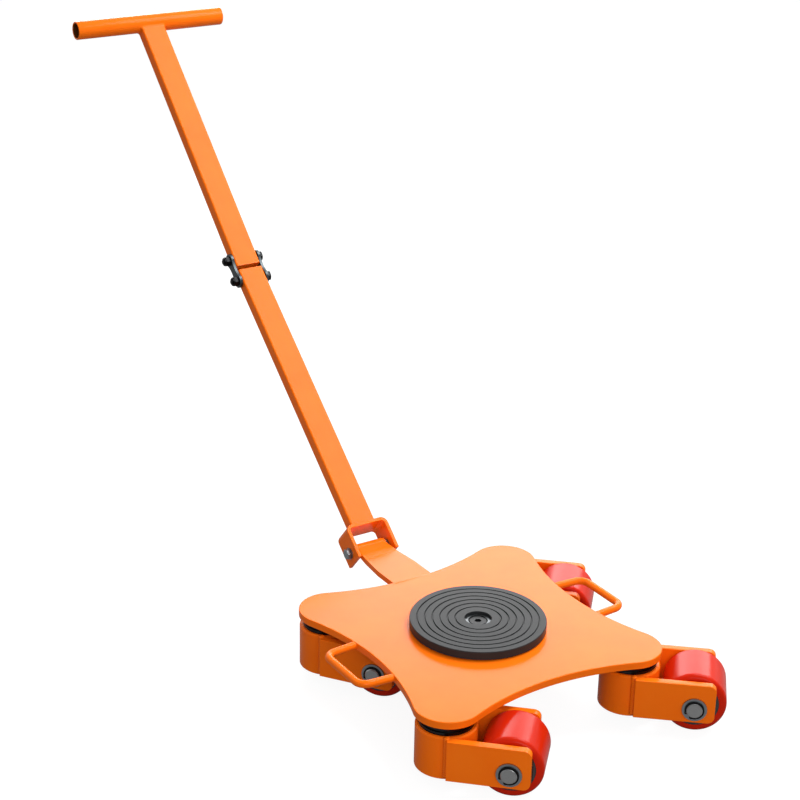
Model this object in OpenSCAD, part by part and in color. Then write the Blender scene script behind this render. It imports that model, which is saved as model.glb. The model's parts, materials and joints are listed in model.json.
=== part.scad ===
// Four-roller machine skate with a turning load pad and a folding pull bar.
// The origin is the middle of the load face. +Z is up, and the pull bar leaves towards -X.
// Left and right are those of a person who faces -X, the way the skate is pulled.

/* [Overall] */
// Height of the load face above the floor
load_h = 107; // [106:0.5:125]

/* [Deck] */
// Distance from one lobe tip to the opposite lobe tip
deck_span = 470; // [460:1:560]
// Width between opposite hollow edges
deck_waist = 306; // [285:1:325]
// Radius of the four round lobes
lobe_r = 42; // [39:0.5:46]
// Thickness of the deck plate
deck_t = 10; // [8:0.5:11]

/* [Turntable] */
// Diameter of the load pad
pad_d = 175; // [165:1:200]
// Height of the load pad's rim
pad_h = 10.6; // [9:0.1:11.5]
// Rubber above the steel disc
pad_face_t = 3.5; // [3:0.1:4.5]
// Diameter of the hole in the pad's middle
pad_hole_d = 35; // [30:1:40]
// Distance from one ring groove to the next
groove_pitch = 9.7; // [8:0.1:11]
// Number of ring grooves
groove_count = 6; // [3:1:6]
// Width of a ring groove at the face
groove_w = 2.2; // [1:0.1:3]
// Depth of a ring groove
groove_depth = 1.4; // [0.5:0.1:2]
// Bevel round the pad's upper edge
pad_bevel = 0.8; // [0.3:0.1:1.5]
// Diameter of the steel disc inside the pad
disc_d = 150; // [140:1:156]
// Thickness of the thrust washer, which holds the pad clear of the deck
thrust_t = 1.9; // [1:0.1:3]
// Outer diameter of the thrust washer
thrust_d = 130; // [90:1:136]
// Inner diameter of the thrust washer
thrust_bore = 40; // [30:1:60]
// Diameter of the pivot bolt's shoulder
pivot_d = 14; // [12.5:0.5:18]
// Diameter of the pivot bolt's head
pivot_head_d = 23.4; // [21:0.1:24]
// Height of the pivot bolt's head
pivot_head_h = 3.4; // [2.6:0.1:3.6]
// Diameter of the sunk seat for the pivot bolt's head
pivot_seat_d = 25; // [24.6:0.1:28]
// Depth of the sunk seat
pivot_seat_depth = 4; // [3.9:0.1:4.4]
// Width across the flats of the pivot bolt's socket
pivot_key = 8; // [6:1:10]
// Depth of the pivot bolt's socket
pivot_key_depth = 2.2; // [1.5:0.1:2.4]
// Diameter of the pivot bolt's thread
pivot_thread_d = 12; // [10:1:12]
// Width across the flats of the pivot nut
pivot_nut_af = 19; // [18:1:24]
// Height of the pivot nut
pivot_nut_h = 11; // [8:0.5:14]
// Diameter of the pivot nut's flange
pivot_flange_d = 28; // [26:1:34]
// Thickness of the pivot nut's flange
pivot_flange_t = 2.5; // [2:0.5:4]

/* [Swivels] */
// Distance from a lobe's tip to the swivel axis
swivel_inset = 39; // [37:0.5:42]
// Thickness of the thrust bearing between deck and housing
swivel_bearing_t = 12; // [9:0.5:13]
// Outer diameter of the thrust bearing
swivel_bearing_d = 67; // [60:1:69]
// Depth of the groove round the thrust bearing, where its cage shows
cage_inset = 1.6; // [0.8:0.1:2.5]
// Height of the housing's lower end above the floor
hub_clear = 16; // [12:1:20]
// Bevel round the housing's upper edge
hub_bevel = 2; // [1:0.5:4]
// Diameter of the king pin in its bush
king_pin_d = 30; // [26:1:32]
// Depth that the king pin is let into the deck
king_pin_set = 5; // [3:0.5:6]
// Diameter of the king pin's thread
king_thread_d = 24; // [20:1:25]
// Wall of the swivel bush
bush_wall = 3; // [2:0.5:5]
// Depth of the recess for the king pin's nut
nut_recess_h = 20; // [18:0.5:24]
// Diameter of the recess for the king pin's nut
nut_recess_d = 56; // [50:1:62]
// Diameter of the king pin washer
king_washer_d = 44; // [40:1:48]
// Thickness of the king pin washer
king_washer_t = 4; // [3:0.5:5]
// Width across the flats of the king pin nut
king_nut_af = 36; // [32:1:38]
// Height of the king pin nut
king_nut_h = 10; // [8:0.5:11]

/* [Casters] */
// Distance from the swivel axis to the axle
trail = 83; // [78:1:88]
// Direction in which the front left caster trails at rest
angle_front_left = 36; // [0:1:90]
// Direction in which the front right caster trails at rest
angle_front_right = 48; // [0:1:90]
// Direction in which the rear left caster trails at rest
angle_rear_left = 47; // [0:1:90]
// Direction in which the rear right caster trails at rest
angle_rear_right = 50; // [0:1:90]
// Thickness of a cheek plate
cheek_t = 10; // [6:0.5:12]
// Distance from the swivel axis to a cheek plate's square end
cheek_start = 8; // [4:0.5:12]
// Length of a cheek plate beyond the axle
cheek_end = 25.4; // [20:0.5:30]
// Depth of a cheek plate below the axle
cheek_below = 19.6; // [16:0.2:24]
// Height of a cheek plate above the axle
cheek_above = 33.7; // [26:0.1:36]
// Radius of a cheek plate's outer corners
cheek_corner_r = 9; // [4:0.5:14]
// Length of the housing's square back between the cheek plates
back_len = 14; // [8:0.5:18]
// Distance that the square back stays inside the cheek plates' edges
back_inset = 6; // [3:0.5:10]

/* [Rollers] */
// Diameter of a roller
roller_d = 80; // [74:1:81]
// Width of a roller
roller_w = 70; // [60:1:80]
// Gap between a roller and each cheek plate
roller_side_gap = 3; // [2:0.5:6]
// Radius of the tyre's round shoulders
shoulder_r = 6; // [3:0.5:8]
// Thickness of the tyre
tyre_t = 10; // [8:0.5:12]
// Diameter of the core's middle bore
core_bore_d = 34; // [30:1:40]
// Outer diameter of a roller bearing
bearing_d = 47; // [44:1:50]
// Width of a roller bearing
bearing_w = 14; // [10:0.5:18]
// Distance from the roller's face to the bearing
bearing_inset = 1; // [0.5:0.5:3]
// Depth of the shield's step in a bearing's face
shield_step = 0.6; // [0.3:0.1:1]
// Diameter of an axle
axle_d = 20; // [17:0.5:22]
// Length of the axle beyond its retaining ring
axle_stub = 1.6; // [1.5:0.1:4]
// Bevel on the axle's ends
axle_bevel = 1; // [0.5:0.1:1.4]
// Outer diameter of an outer axle washer
axle_washer_d = 31; // [28:0.5:34]
// Thickness of an outer axle washer
axle_washer_t = 2.5; // [1.5:0.1:3]
// Outer diameter of an inner axle washer
spacer_d = 28; // [25:0.5:32]
// Thickness of a retaining ring
ring_t = 1.5; // [1:0.1:2]
// Depth of a retaining ring's groove in the axle
ring_groove = 0.8; // [0.5:0.1:1.2]
// Width of a retaining ring, from inside to outside
ring_w = 3; // [2:0.1:3.6]
// Angle of a retaining ring's gap
ring_gap = 50; // [30:1:80]
// Direction in which a retaining ring's gap points
ring_turn = 225; // [0:5:355]
// Radius of a retaining ring's lugs
ring_lug_r = 2.2; // [1.8:0.1:2.6]
// Radius of the hole in a retaining ring's lug
ring_eye_r = 0.9; // [0.6:0.1:1.2]

/* [Side handles] */
// Diameter of a handle's rod
handle_rod_d = 10; // [8:0.5:12]
// Width of a handle between its outer corners
handle_grip_w = 85; // [76:1:110]
// Angle by which the rod is bent at each corner
handle_bend = 86; // [80:1:90]
// Distance from a handle's outer run to the deck's edge
handle_reach = 47; // [36:1:60]
// Radius of a handle's bends
handle_bend_r = 14; // [10:0.5:20]

/* [Tongue] */
// Distance from the deck's edge to the yoke bolt
tongue_len = 109.9; // [105:0.1:130]
// Width of the tongue at the deck
tongue_root_w = 59; // [50:1:62]
// Distance from the deck's edge to where the tongue begins to taper
tongue_straight = 40; // [20:1:50]
// Width of the tongue at the barrel
tongue_tip_w = 45; // [40:0.5:46]
// Thickness of the tongue
tongue_t = 8; // [6:0.5:9.5]
// Distance from the deck's edge to the tongue's bend
tongue_flat = 78; // [60:1:85]
// Angle by which the tongue's end is bent up
tongue_rise = 6; // [0:0.5:10]
// Height of the tongue's middle above the yoke bolt, at the barrel
bolt_drop = 3.7; // [0:0.1:5.5]
// Outer diameter of the barrel
barrel_d = 20; // [18:0.5:24]
// Length of the barrel
barrel_len = 46.7; // [40:0.1:46.9]
// Gap between the barrel and the yoke's left leg
barrel_gap = 2.5; // [1.5:0.1:2.7]

/* [Yoke] */
// Clear width between the yoke's legs
yoke_gap = 54.5; // [54.3:0.1:60]
// Width of the yoke's strap
yoke_w = 38; // [30:0.5:44]
// Thickness of the yoke's strap
yoke_t = 5; // [4:0.5:8]
// Distance from the yoke bolt to the bridge between the legs
yoke_reach = 29; // [24:0.5:34]
// Distance from the yoke bolt to the legs' lower end
leg_below = 14.5; // [11:0.5:18]
// Inner radius of the strap's two bends
yoke_bend_r = 5; // [3:0.5:9]
// Distance that the bar's middle lies in front of the yoke bolt
bar_offset = 2.2; // [0:0.1:4]
// Diameter of the yoke bolt
yoke_bolt_d = 8; // [6:1:10]
// Width across the flats of the yoke bolt's head and nut
yoke_bolt_af = 13; // [13:1:17]
// Height of the yoke bolt's head
yoke_head_h = 5.5; // [4:0.1:7]
// Height of the yoke bolt's nut, which sits inside the right leg
yoke_nut_h = 5; // [4:0.1:5.2]
// Length of the yoke bolt beyond the right leg
yoke_bolt_tail = 1; // [0.9:0.1:3]
// Outer diameter of the yoke washer
yoke_washer_d = 16; // [15.5:0.5:22]
// Thickness of the yoke washer
yoke_washer_t = 1.6; // [1:0.1:3]

/* [Pull bar] */
// Overall length of the pull bar, from the legs' lower end to the T-bar's far side
bar_overall = 922; // [880:1:1000]
// Angle of the lower bar above the floor at rest
bar_lean = 40.3; // [20:0.1:60]
// Angle by which the upper bar stands steeper than the lower bar at rest
fold_bend = 3.9; // [0:0.1:6]
// Width of the bar's tube
tube_w = 38; // [32:0.5:42]
// Thickness of the bar's tube, front to back
tube_h = 18; // [16:0.5:18]
// Wall of the bar's tube
tube_wall = 2; // [1.5:0.1:3]
// Radius of the tube's long edges
tube_edge_r = 2.5; // [2:0.1:4]
// Distance from the yoke bolt to the lower link bolt
lower_bar_reach = 445.3; // [400:0.1:460]
// Distance between a link plate's two bolts
link_pitch = 34; // [34:0.5:44]
// Gap between the ends of the two bars
fold_gap = 7; // [5:0.5:9]
// Outer diameter of the T-bar
tbar_d = 27; // [25:0.5:27]
// Wall of the T-bar
tbar_wall = 2.5; // [1.5:0.1:4]
// Length of the T-bar
tbar_len = 240; // [200:1:300]

/* [Link plates] */
// Thickness of a link plate
link_t = 4.5; // [3:0.1:6]
// Radius of a link plate's ends
link_end_r = 10; // [8.5:0.1:12]
// Width of a link plate at its waist
link_waist = 12.5; // [10:0.5:18]
// Diameter of the link bolts
link_bolt_d = 8; // [6:1:8]
// Width across the flats of the link bolts' heads and nuts
link_bolt_af = 13; // [12:1:14]
// Height of the link bolts' heads
link_head_h = 5.3; // [4:0.1:6]
// Height of the link bolts' nuts
link_nut_h = 8; // [6:0.1:9]

/* [Clearances] */
// Radial clearance of a shaft that turns in a hole
run_fit = 0.05; // [0.02:0.01:0.1]
// Radial clearance of a piece that is seated or welded on a round one
seat_fit = 0.05; // [0.02:0.01:0.1]
// Radial gap between a roller's core and its tyre, where the bond is
bond_gap = 0.3; // [0.2:0.05:0.4]
// End clearance between flat faces that turn on each other
face_gap = 0.3; // [0.1:0.1:0.5]
// Length of a bolt beyond its nut
bolt_tail = 2; // [1:0.5:4]
// Bevel on the ends of bolts
bolt_bevel = 0.8; // [0.4:0.1:1]

/* [Hidden] */
CORNERS = ["front_left", "front_right", "rear_left", "rear_right"];
CORNER_TURN = [225, 135, 315, 45];
CORNER_ANGLE = [angle_front_left, angle_front_right, angle_rear_left, angle_rear_right];
CASTER_NODES = [
    "hub_housing", "cheeks", "swivel_bush", "axle", "axle_washers",
    "retaining_rings", "roller_core", "roller_tyre", "roller_bearings"
];
BODY_NODES = [
    "deck_plate", "tow_tongue", "tongue_barrel", "left_handle", "right_handle",
    "king_pins", "king_pin_washers", "king_pin_nuts", "swivel_bearings",
    "turntable_pivot", "turntable_nut", "thrust_washer", "turntable_disc", "load_pad",
    "yoke", "yoke_bolt", "yoke_washer", "yoke_nut", "lower_bar",
    "link_plates", "link_bolts", "link_nuts", "upper_bar", "t_bar"
];
$fn = 96;

orange = [0.93, 0.42, 0.08];
rubber_grey = [0.25, 0.25, 0.26];
dark_steel = [0.2, 0.22, 0.23];
zinc = [0.72, 0.74, 0.75];
bright_steel = [0.6, 0.61, 0.62];
tyre_red = [0.8, 0.08, 0.06];
bronze = [0.7, 0.5, 0.25];

// Heights, from the load face down
floor_z = -load_h;
thrust_top = -pad_h;
deck_top = thrust_top - thrust_t;
deck_bottom = deck_top - deck_t;
hub_top = deck_bottom - swivel_bearing_t;
hub_bottom = floor_z + hub_clear;
axle_z = floor_z + roller_d / 2;
recess_top = hub_bottom + nut_recess_h;

// Deck outline: four lobes joined by hollow arcs that run smoothly into them
lobe_xy = (deck_span / 2 - lobe_r) / sqrt(2);
hollow_far = (2 * lobe_xy * lobe_xy - pow(deck_waist / 2 - lobe_r, 2))
    / (2 * lobe_xy + 2 * lobe_r - deck_waist);
hollow_r = hollow_far - deck_waist / 2;
// A hollow is cut this much over its tangent radius, so that its arc meets the lobes' arcs
hollow_over = 0.01;
// How far a trimming solid reaches beyond what it trims
trim_over = 20;
// How far the tongue and the handles run into the deck before they are trimmed to its edge
root_over = 4;

// Casters
caster_reach = deck_span / 2 - swivel_inset;
swivel_xy = caster_reach / sqrt(2);
fork_gap = roller_w + 2 * roller_side_gap;
cheek_len = trail + cheek_end - cheek_start;
cheek_out = fork_gap / 2 + cheek_t;
ring_in = cheek_out + axle_washer_t;
ring_out = ring_in + ring_t;
axle_half = ring_out + axle_stub;
bearing_out = roller_w / 2 - bearing_inset;
bearing_in = bearing_out - bearing_w;
spacer_t = fork_gap / 2 - bearing_out - face_gap;
groove_r = axle_d / 2 - ring_groove;
bush_d = king_pin_d + 2 * run_fit + 2 * bush_wall;
king_shoulder = recess_top - face_gap;

// Turntable
seat_z = -pad_face_t - pivot_seat_depth;
head_under = seat_z + face_gap;

// Tow gear
yoke_pivot = [
    -deck_waist / 2 - tongue_len, 0,
    deck_top - tongue_t / 2 + (tongue_len - tongue_flat) * tan(tongue_rise) - bolt_drop
];
barrel_y = barrel_len / 2 + barrel_gap - yoke_gap / 2;
bridge_top = yoke_reach + yoke_t;
leg_out = yoke_gap / 2 + yoke_t;
link_lean = bar_lean + fold_bend / 2;
upper_lean = bar_lean + fold_bend;
bolt_to_end = (link_pitch - fold_gap) / 2;
bar_foot = yoke_pivot + bar_offset * [sin(bar_lean), 0, cos(bar_lean)];
lower_link_bolt = bar_foot + lower_bar_reach * [-cos(bar_lean), 0, sin(bar_lean)];
upper_link_bolt = lower_link_bolt + link_pitch * [-cos(link_lean), 0, sin(link_lean)];
tbar_reach = bar_overall - leg_below - lower_bar_reach - link_pitch - tbar_d / 2;
link_in = tube_w / 2 + face_gap;
link_out = link_in + link_t;

function groove_at(k) = pad_d / 2 - k * groove_pitch;

// A cylinder that lies along Y, centred on the origin
module y_cylinder(d, len) {
    rotate([90, 0, 0]) cylinder(d = d, h = len, center = true);
}

// A solid of revolution about Y, from a profile of [radius, distance along Y]
module y_turned(profile) {
    rotate([-90, 0, 0]) rotate_extrude() polygon(profile);
}

// A hexagon prism between two heights
module hexagon(across, low, high) {
    translate([0, 0, low]) cylinder(d = across / cos(30), h = high - low, $fn = 6);
}

// A square whose corners at its far end in X are round
module far_rounded(len, wide, r) {
    square([len - r, wide]);
    translate([0, r]) square([len, wide - 2 * r]);
    intersection() {
        for (y = [r, wide - r]) translate([len - r, y]) circle(r = r);
        square([len, wide]);
    }
}

// A rectangle round its middle with all its corners round
module rounded_box(w, h, r) {
    square([w - 2 * r, h], center = true);
    square([w, h - 2 * r], center = true);
    for (x = [-1, 1]) for (y = [-1, 1])
        translate([x * (w / 2 - r), y * (h / 2 - r)]) circle(r = r);
}

module at_caster(k) {
    rotate([0, 0, CORNER_TURN[k]]) translate([caster_reach, 0, 0])
        rotate([0, 0, CORNER_ANGLE[k] - CORNER_TURN[k]]) children();
}

module at_each_caster() {
    for (k = [0:len(CORNERS) - 1]) at_caster(k) children();
}

// Along a bar: local X runs up the bar, local Z points out of its front face
module along_bar(point, lean) {
    translate(point) rotate([0, -lean, 180]) children();
}

// The cylinder that hollows the deck's edge on the side that a turn names
module hollow(turn, r) {
    rotate([0, 0, turn]) translate([hollow_far, 0, deck_bottom - trim_over])
        cylinder(r = r, h = deck_t + 2 * trim_over, $fn = 360);
}

// Lobes and hollows are arcs that run smoothly into each other
module deck_outline() {
    difference() {
        polygon([
            [hollow_far, 0], [lobe_xy, lobe_xy], [0, hollow_far], [-lobe_xy, lobe_xy],
            [-hollow_far, 0], [-lobe_xy, -lobe_xy], [0, -hollow_far], [lobe_xy, -lobe_xy]
        ]);
        for (s = [-1, 1]) translate([s * hollow_far, 0]) circle(r = hollow_r + hollow_over, $fn = 360);
        for (s = [-1, 1]) translate([0, s * hollow_far]) circle(r = hollow_r + hollow_over, $fn = 360);
    }
    for (x = [-1, 1]) for (y = [-1, 1]) translate([x * lobe_xy, y * lobe_xy]) circle(r = lobe_r);
}

module deck_plate() color(orange) difference() {
    translate([0, 0, deck_bottom]) linear_extrude(deck_t) deck_outline();
    translate([0, 0, deck_bottom - 1]) cylinder(d = pivot_d + 2 * seat_fit, h = deck_t + 2);
    for (x = [-1, 1]) for (y = [-1, 1]) translate([x * swivel_xy, y * swivel_xy, deck_bottom - 1])
        cylinder(d = king_pin_d + 2 * seat_fit, h = king_pin_set + 1);
}

module tow_tongue() color(orange) intersection() {
    difference() {
        rotate([90, 0, 0]) linear_extrude(tongue_root_w + trim_over, center = true) polygon([
            for (low = [0, tongue_t]) each let (
                z = deck_top - low,
                root = -deck_waist / 2 + root_over,
                bend = -deck_waist / 2 - tongue_flat,
                tip_z = z + (bend - yoke_pivot.x) * tan(tongue_rise),
                run = [[root, z], [bend, z], [yoke_pivot.x, tip_z]]
            ) low == 0 ? run : [run[2], run[1], run[0]]
        ]);
        translate(yoke_pivot) y_cylinder(barrel_d + 2 * seat_fit, tongue_root_w);
    }
    translate([0, barrel_y, deck_bottom - trim_over]) linear_extrude(deck_t + 2 * trim_over) polygon([
        for (s = [-1, 1]) each let (
            tip = [yoke_pivot.x, s * tongue_tip_w / 2],
            shoulder = [-deck_waist / 2 - tongue_straight, s * tongue_root_w / 2],
            root = [-deck_waist / 2 + root_over, s * tongue_root_w / 2]
        ) s < 0 ? [tip, shoulder, root] : [root, shoulder, tip]
    ]);
    hollow(180, hollow_r - seat_fit);
}

module tongue_barrel() color(orange) translate(yoke_pivot + [0, barrel_y, 0]) difference() {
    y_cylinder(barrel_d, barrel_len);
    y_cylinder(yoke_bolt_d + 2 * run_fit, barrel_len + 2);
}

// A rod bent twice, whose legs splay a little and meet the deck's hollow edge
module side_handle(turn) {
    half_grip = handle_grip_w / 2 - handle_bend_r * tan(handle_bend / 2);
    leg = handle_reach + root_over;
    color(orange) intersection() {
        rotate([0, 0, turn]) translate([deck_waist / 2 + handle_reach, 0, deck_top - deck_t / 2]) {
            y_cylinder(handle_rod_d, 2 * half_grip);
            for (s = [0, 1]) mirror([0, s, 0]) translate([-handle_bend_r, half_grip, 0]) {
                rotate_extrude(angle = handle_bend) translate([handle_bend_r, 0])
                    circle(d = handle_rod_d);
                rotate([0, 0, handle_bend]) translate([handle_bend_r, 0, 0]) rotate([-90, 0, 0])
                    cylinder(d = handle_rod_d, h = leg - handle_bend_r);
            }
        }
        hollow(turn, hollow_r - seat_fit);
    }
}

module left_handle() {
    side_handle(270);
}

module right_handle() {
    side_handle(90);
}

module king_pins() color(bright_steel) at_each_caster() rotate_extrude() polygon([
    [0, deck_bottom + king_pin_set],
    [0, king_tail_z()],
    [king_thread_d / 2 - bolt_bevel, king_tail_z()],
    [king_thread_d / 2, king_tail_z() + bolt_bevel],
    [king_thread_d / 2, king_shoulder],
    [king_pin_d / 2, king_shoulder],
    [king_pin_d / 2, deck_bottom + king_pin_set]
]);

function king_tail_z() = king_shoulder - king_washer_t - king_nut_h - bolt_tail;

module king_pin_washers() color(zinc) at_each_caster()
    translate([0, 0, king_shoulder - king_washer_t]) difference() {
        cylinder(d = king_washer_d, h = king_washer_t);
        translate([0, 0, -1]) cylinder(d = king_thread_d + 2 * seat_fit, h = king_washer_t + 2);
    }

module king_pin_nuts() color(zinc) at_each_caster() difference() {
    hexagon(king_nut_af, king_shoulder - king_washer_t - king_nut_h, king_shoulder - king_washer_t);
    translate([0, 0, king_tail_z() - 1])
        cylinder(d = king_thread_d + 2 * seat_fit, h = king_nut_h + bolt_tail + 3);
}

// Two bearing washers with the cage set back between them
module swivel_bearings() color(dark_steel) at_each_caster() let (
    inner = king_pin_d / 2 + 0.5,
    outer = swivel_bearing_d / 2,
    plate = swivel_bearing_t / 3
) rotate_extrude() polygon([
    [inner, hub_top],
    [outer, hub_top],
    [outer, hub_top + plate],
    [outer - cage_inset, hub_top + plate],
    [outer - cage_inset, deck_bottom - plate],
    [outer, deck_bottom - plate],
    [outer, deck_bottom],
    [inner, deck_bottom]
]);

module turntable_pivot() color(zinc) let (
    tail = deck_bottom - pivot_nut_h - bolt_tail,
    head_top = head_under + pivot_head_h
) difference() {
    rotate_extrude() polygon([
        [0, head_top],
        [0, tail],
        [pivot_thread_d / 2 - bolt_bevel, tail],
        [pivot_thread_d / 2, tail + bolt_bevel],
        [pivot_thread_d / 2, deck_bottom],
        [pivot_d / 2, deck_bottom],
        [pivot_d / 2, head_under],
        [pivot_head_d / 2, head_under],
        [pivot_head_d / 2, head_top - bolt_bevel],
        [pivot_head_d / 2 - bolt_bevel, head_top]
    ]);
    hexagon(pivot_key, head_top - pivot_key_depth, head_top + 1);
}

module turntable_nut() color(zinc) difference() {
    union() {
        translate([0, 0, deck_bottom - pivot_flange_t]) cylinder(d = pivot_flange_d, h = pivot_flange_t);
        hexagon(pivot_nut_af, deck_bottom - pivot_nut_h, deck_bottom - pivot_flange_t / 2);
    }
    translate([0, 0, deck_bottom - pivot_nut_h - 1])
        cylinder(d = pivot_thread_d + 2 * seat_fit, h = pivot_nut_h + 2);
}

module thrust_washer() color(bronze) translate([0, 0, deck_top]) difference() {
    cylinder(d = thrust_d, h = thrust_t);
    translate([0, 0, -1]) cylinder(d = thrust_bore, h = thrust_t + 2);
}

module turntable_disc() color(bright_steel) rotate_extrude() polygon([
    [pivot_d / 2 + run_fit, thrust_top],
    [disc_d / 2, thrust_top],
    [disc_d / 2, -pad_face_t],
    [pivot_seat_d / 2, -pad_face_t],
    [pivot_seat_d / 2, seat_z],
    [pivot_d / 2 + run_fit, seat_z]
]);

// A rubber cap over the steel disc, with ring grooves in its face
module load_pad() color(rubber_grey) rotate_extrude() polygon(concat(
    [[pad_hole_d / 2, -pad_face_t], [pad_hole_d / 2, 0]],
    [for (k = [groove_count:-1:1]) each let (r = groove_at(k), w = groove_w / 2) [
        [r - w, 0],
        [r - w / 2, -groove_depth],
        [r + w / 2, -groove_depth],
        [r + w, 0]
    ]],
    [
        [pad_d / 2 - pad_bevel, 0],
        [pad_d / 2, -pad_bevel],
        [pad_d / 2, thrust_top],
        [disc_d / 2 + seat_fit, thrust_top],
        [disc_d / 2 + seat_fit, -pad_face_t]
    ]
));

module hub_housing() color(orange) difference() {
    union() {
        rotate_extrude() polygon([
            [0, hub_bottom],
            [fork_gap / 2, hub_bottom],
            [fork_gap / 2, hub_top - hub_bevel],
            [fork_gap / 2 - hub_bevel, hub_top],
            [0, hub_top]
        ]);
        translate([cheek_start, -fork_gap / 2, axle_z - cheek_below + back_inset])
            cube([back_len, fork_gap, cheek_below + cheek_above - 2 * back_inset]);
    }
    translate([0, 0, hub_bottom]) cylinder(d = bush_d + 2 * seat_fit, h = hub_top - hub_bottom + 1);
    translate([0, 0, hub_bottom - 1]) cylinder(d = nut_recess_d, h = nut_recess_h + 1);
}

module cheeks() color(orange) for (s = [-1, 1])
    translate([cheek_start, s * (fork_gap + cheek_t) / 2, axle_z]) rotate([90, 0, 0])
        linear_extrude(cheek_t, center = true) difference() {
            translate([0, -cheek_below]) far_rounded(cheek_len, cheek_below + cheek_above, cheek_corner_r);
            translate([trail - cheek_start, 0]) circle(d = axle_d + 2 * seat_fit);
        }

module swivel_bush() color(bronze) rotate_extrude() polygon([
    [king_pin_d / 2 + run_fit, recess_top],
    [bush_d / 2, recess_top],
    [bush_d / 2, hub_top],
    [king_pin_d / 2 + run_fit, hub_top]
]);

module axle() color(bright_steel) translate([trail, 0, axle_z]) y_turned([
    [0, -axle_half],
    [axle_d / 2 - axle_bevel, -axle_half],
    [axle_d / 2, -axle_half + axle_bevel],
    [axle_d / 2, -ring_out],
    [groove_r, -ring_out],
    [groove_r, -ring_in],
    [axle_d / 2, -ring_in],
    [axle_d / 2, ring_in],
    [groove_r, ring_in],
    [groove_r, ring_out],
    [axle_d / 2, ring_out],
    [axle_d / 2, axle_half - axle_bevel],
    [axle_d / 2 - axle_bevel, axle_half],
    [0, axle_half]
]);

module axle_washer(d, t, near) {
    for (s = [-1, 1]) translate([trail, s * (near + t / 2), axle_z]) difference() {
        y_cylinder(d, t);
        y_cylinder(axle_d + 2 * seat_fit, t + 2);
    }
}

module axle_washers() color(zinc) {
    axle_washer(axle_washer_d, axle_washer_t, cheek_out);
    axle_washer(spacer_d, spacer_t, fork_gap / 2 - spacer_t);
}

// An open ring with an eye at each side of its gap
module retaining_ring_outline() {
    inner = groove_r + seat_fit;
    lug_at = inner + ring_w / 2;
    far = 2 * (inner + ring_w);
    difference() {
        union() {
            difference() {
                circle(r = inner + ring_w);
                polygon([
                    [0, 0],
                    far * [cos(ring_turn - ring_gap / 2), sin(ring_turn - ring_gap / 2)],
                    far * [cos(ring_turn + ring_gap / 2), sin(ring_turn + ring_gap / 2)]
                ]);
            }
            for (s = [-1, 1]) rotate(ring_turn + s * ring_gap / 2) translate([lug_at, 0])
                circle(r = ring_lug_r);
        }
        circle(r = inner);
        for (s = [-1, 1]) rotate(ring_turn + s * ring_gap / 2) translate([lug_at, 0])
            circle(r = ring_eye_r);
    }
}

module retaining_rings() color(dark_steel) for (s = [-1, 1])
    translate([trail, s * (ring_in + ring_out) / 2, axle_z]) rotate([90, 0, 0])
        linear_extrude(ring_t, center = true) retaining_ring_outline();

module roller_core() color(bright_steel) let (
    pocket = bearing_d / 2 + seat_fit,
    out = roller_w / 2,
    skin = roller_d / 2 - tyre_t
) translate([trail, 0, axle_z]) y_turned([
    [core_bore_d / 2, -bearing_in],
    [pocket, -bearing_in],
    [pocket, -out],
    [skin, -out],
    [skin, out],
    [pocket, out],
    [pocket, bearing_in],
    [core_bore_d / 2, bearing_in]
]);

module roller_tyre() color(tyre_red) let (inner = roller_d / 2 - tyre_t + bond_gap)
    translate([trail, 0, axle_z]) rotate([90, 0, 0]) rotate_extrude($fn = 128)
        translate([inner, -roller_w / 2]) far_rounded(roller_d / 2 - inner, roller_w, shoulder_r);

module roller_bearings() color(zinc) let (
    bore = axle_d / 2 + run_fit,
    rim = bearing_d / 2,
    race = (rim - bore) / 4
) for (s = [-1, 1]) translate([trail, s * (bearing_in + bearing_out) / 2, axle_z]) y_turned([
    [bore, -bearing_w / 2],
    [bore + race, -bearing_w / 2],
    [bore + race, shield_step - bearing_w / 2],
    [rim - race, shield_step - bearing_w / 2],
    [rim - race, -bearing_w / 2],
    [rim, -bearing_w / 2],
    [rim, bearing_w / 2],
    [rim - race, bearing_w / 2],
    [rim - race, bearing_w / 2 - shield_step],
    [bore + race, bearing_w / 2 - shield_step],
    [bore + race, bearing_w / 2],
    [bore, bearing_w / 2]
]);

// The strap seen from the front: two legs and the bridge, bent round both corners
module yoke_front() {
    difference() {
        translate([-leg_below, -leg_out])
            far_rounded(leg_below + bridge_top, 2 * leg_out, yoke_bend_r + yoke_t);
        translate([-leg_below - 1, -yoke_gap / 2])
            far_rounded(leg_below + 1 + yoke_reach, yoke_gap, yoke_bend_r);
    }
}

module yoke() color(orange) along_bar(yoke_pivot, bar_lean) difference() {
    linear_extrude(yoke_w, center = true) yoke_front();
    y_cylinder(yoke_bolt_d + 2 * seat_fit, 2 * leg_out + 2);
}

module yoke_bolt() color(zinc) along_bar(yoke_pivot, bar_lean)
    hex_bolt(yoke_bolt_d, yoke_bolt_af, yoke_head_h, leg_out + yoke_washer_t, leg_out + yoke_bolt_tail);

module yoke_nut() color(zinc) along_bar(yoke_pivot, bar_lean) rotate([90, 0, 0]) difference() {
    hexagon(yoke_bolt_af, yoke_gap / 2 - yoke_nut_h, yoke_gap / 2);
    cylinder(d = yoke_bolt_d + 2 * seat_fit, h = yoke_gap);
}

module yoke_washer() color(zinc) along_bar(yoke_pivot, bar_lean)
    translate([0, leg_out + yoke_washer_t / 2, 0]) difference() {
        y_cylinder(yoke_washer_d, yoke_washer_t);
        y_cylinder(yoke_bolt_d + 2 * seat_fit, yoke_washer_t + 2);
    }

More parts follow.
